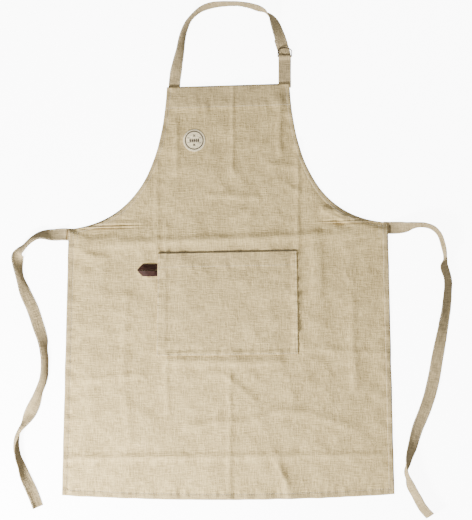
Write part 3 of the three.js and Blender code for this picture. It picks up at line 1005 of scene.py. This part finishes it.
# the two D-rings
def ringOutline():
    half = ringSet["innerHalf"] + ringSet["wire"] / 2
    bow = ringSet["depth"] - ringSet["wire"] - ringSet["leg"]
    corner = ringSet["corner"]
    quarter = np.linspace(0, pi / 2, 5)
    points = [(half - corner + corner * sin(a), corner - corner * cos(a)) for a in quarter]
    points += [(half * cos(a), ringSet["leg"] + bow * sin(a)) for a in np.linspace(0, pi, 29)]
    points += [(-half + corner - corner * cos(a), corner - corner * sin(a)) for a in quarter]
    return points


def makeRing(name, bar, tilt, node, body):
    data = bpy.data.curves.new(name, "CURVE")
    data.dimensions = "3D"
    data.bevel_depth = ringSet["wire"] / 2
    data.bevel_resolution = 4
    spline = data.splines.new("POLY")
    points = ringOutline()
    spline.points.add(len(points) - 1)
    for knot, (x, y) in zip(spline.points, points):
        knot.co = (bar.x + x, bar.y + y * cos(tilt), bar.z + y * sin(tilt), 1)
    spline.use_cyclic_u = True
    wire = addObject(name + "Wire", data)
    bm = mergedMesh(wire.to_mesh())
    wire.to_mesh_clear()
    bpy.data.objects.remove(wire)
    ring = keepPiece(name, bm, bronze)
    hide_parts(node)
    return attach(ring, body)


makeRing("rearRing", rearBar, 0.0, "d_ring_rear", "neck_loop")
makeRing("frontRing", frontBar, ringSet["frontTilt"], "d_ring_front", "front_ring")
print("rings bent")


# the leather loop: a strip folded to a mitred point, its two runs side by side
leatherLow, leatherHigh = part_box("leather_loop")
leatherSet = {
    "thick": 1.3 * mm, "ridge": 4.4 * mm, "shoulder": 11.5 * mm, "slit": 1.1 * mm, "tip": 0.6 * mm,
    "hump": 0.7 * mm, "clear": 0.15 * mm, "grain": 0.25 * mm,
    "flatter": 0.85, "flatterTo": 0.18,  # the ridge lies flatter near the seam
}


def leatherRun(name, side):
    long = leatherHigh.x - leatherLow.x
    half = (leatherHigh.y - leatherLow.y) / 2
    middleY = (leatherHigh.y + leatherLow.y) / 2

    def place(u, v):
        share = (v + 1) / 2  # from the seam to the tip
        fromTip = long * (1 - share)
        taper = np.clip(fromTip / leatherSet["shoulder"], 0, 1) ** 0.8
        outer = leatherSet["tip"] + (half - leatherSet["tip"]) * taper
        across = (side * u + 1) / 2  # 0 at the slit, 1 at the outer edge
        y = side * (leatherSet["slit"] + (outer - leatherSet["slit"]) * across)
        flatter = 1 - leatherSet["flatter"] * smoothStep(-share, -leatherSet["flatterTo"], 0)
        ridge = leatherSet["ridge"] * (1 - across) ** 1.4 * (0.35 + 0.65 * taper) * flatter
        hump = leatherSet["hump"] * np.sin(pi * np.clip(across, 0, 1)) * (0.4 + 0.6 * taper)
        x = np.full(len(u), leatherHigh.x) - long * share
        base = heightsOn(panelSurface, x, middleY + y)
        z = base + leatherSet["clear"] + leatherSet["thick"] + ridge + hump
        z += leatherSet["grain"] * noiseField(x, y, 0.006, 61.0 + side)
        return np.stack([x, middleY + y, z], 1), np.stack([share * long, y], 1)

    run = clothGrid(name, 12, 36, place, leather, leatherSet["thick"])
    softenEdges(run, "worn edges", 0.4 * mm, 50)
    return run


for name, side in (("leatherUpperRun", 1), ("leatherLowerRun", -1)):
    run = leatherRun(name, side)
    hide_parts("leather_loop")
    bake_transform(run)
print("leather loop folded")


# the round label, slightly domed, with a groove where it is sewn
def labelPlace(u, v):
    turn = (u + 1) * pi
    radius = labelSet["radius"] * (v + 1) / 2
    x = labelMiddle.x + radius * np.cos(turn)
    y = labelMiddle.y + radius * np.sin(turn)
    z = heightsOn(panelSurface, x, y) + labelSet["lift"]
    off = (radius - labelSet["radius"] + labelSet["seamIn"]) / labelSet["grooveHalf"]
    dome = labelSet["dome"] * (1 - (radius / labelSet["radius"]) ** 4)
    z += dome - labelSet["groove"] * np.exp(-(off ** 2))
    return np.stack([x, y, z], 1), np.stack([x, y], 1)


def makeLabel():
    piece = clothGrid(
        "roundLabel", 72, 16, labelPlace, labelCotton, labelSet["thick"])
    bm = mergedMesh(piece.data)
    if sum(face.normal.z for face in bm.faces) < 0:
        bmesh.ops.reverse_faces(bm, faces=bm.faces)
    bm.to_mesh(piece.data)
    bm.free()
    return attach(piece, "apron_body")


roundLabel = makeLabel()
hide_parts("round_label")
labelSurface = surfaceOf(roundLabel)


# the label's plain printed device: sizes are halves; lozenges and rules are placed in millimetres
labelPrint = {
    "high": 0.7 * mm, "ring": 18.8 * mm, "dashes": 110, "dash": (1.35 * mm, 0.75 * mm),
    "lozenges": (-8.4, -4.2, 0, 4.2, 8.4), "lozenge": (1.8 * mm, 4.9 * mm),
    "rules": (12, 5.2), "rule": (3.4 * mm, 0.45 * mm),
    "flower": 9.6 * mm, "petal": (1.7 * mm, 0.8 * mm),
}


# a ring, a row of lozenges, four rules and two petalled marks
def labelDevice():
    bm = bmesh.new()

    def mark(x, y, long, wide, turn):
        spot, _ = dropOn(labelSurface, labelMiddle.x + x, labelMiddle.y + y)
        size = Matrix.Diagonal((long, wide, labelPrint["high"], 1))
        place = Matrix.Translation(spot) @ Matrix.Rotation(turn, 4, "Z") @ size
        bmesh.ops.create_icosphere(bm, subdivisions=2, radius=1, matrix=place)

    for i in range(labelPrint["dashes"]):  # the ring is short dashes run together
        turn = i * 2 * pi / labelPrint["dashes"]
        x = labelPrint["ring"] * cos(turn)
        y = labelPrint["ring"] * sin(turn)
        mark(x, y, *labelPrint["dash"], turn)
    for x in labelPrint["lozenges"]:
        mark(x * mm, 0, *labelPrint["lozenge"], 0)
    ruleX, ruleY = labelPrint["rules"]
    out = labelPrint["petal"][0]
    for side in (-1, 1):
        for y in (-ruleY, ruleY):
            mark(side * ruleX * mm, y * mm, *labelPrint["rule"], 0)
        for petal in range(4):
            turn = petal * pi / 2 + pi / 4
            middle = side * labelPrint["flower"]
            mark(out * cos(turn), middle + out * sin(turn), *labelPrint["petal"], turn)
    return keepPiece("labelDevice", bm, ink)


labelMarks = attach(labelDevice(), "apron_body")


def labelSewing():
    bm = bmesh.new()
    radius = labelSet["radius"] - labelSet["seamIn"]
    count = int(2 * pi * radius / stitchSet["pitch"])
    for i in range(count):
        turn = i * 2 * pi / count
        x = labelMiddle.x + radius * cos(turn)
        y = labelMiddle.y + radius * sin(turn)
        spot, normal = dropOn(labelSurface, x, y)
        spot += normal * stitchSet["proud"] * mm
        addStitch(bm, spot, Vector((-sin(turn), cos(turn), 0)), normal)
    return keepPiece("labelStitches", bm, thread)


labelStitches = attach(labelSewing(), "apron_body")
print("label sewn on")


# floor and light
def makeFloor():
    bm = bmesh.new()
    bmesh.ops.create_grid(bm, x_segments=1, y_segments=1, size=floorSet["half"])
    mesh = bpy.data.meshes.new("floor")
    bm.to_mesh(mesh)
    bm.free()
    mesh.materials.append(floorPaper())
    floor = addObject("floor", mesh)
    floor.visible_diffuse = False  # a pale sheet that throws no light back on the cloth
    floor.visible_glossy = False


lampSet = {
    "keyLamp": {"place": (-0.94, -1.10, 0.80), "size": 0.30, "power": 84},  # small and raking
    "fillLamp": {"place": (1.3, 0.9, 2.2), "size": 1.8, "power": 20},
}
skySet = {"colour": (0.92, 0.96, 1, 1), "strength": 0.34}


def addLamp(name, place, size, power):
    data = bpy.data.lights.new(name, "AREA")
    data.energy = power
    data.size = size
    lamp = addObject(name, data)
    lamp.location = place
    lamp.rotation_mode = "QUATERNION"
    lamp.rotation_quaternion = Vector(place).to_track_quat("Z", "Y")  # aimed at the middle


def lightScene():
    world = bpy.data.worlds.new("studio")
    bpy.context.scene.world = world
    world.use_nodes = True
    sky = world.node_tree.nodes["Background"]
    sky.inputs["Color"].default_value = skySet["colour"]
    sky.inputs["Strength"].default_value = skySet["strength"]
    for name, lamp in lampSet.items():
        addLamp(name, **lamp)


makeFloor()
lightScene()
print("stage set")
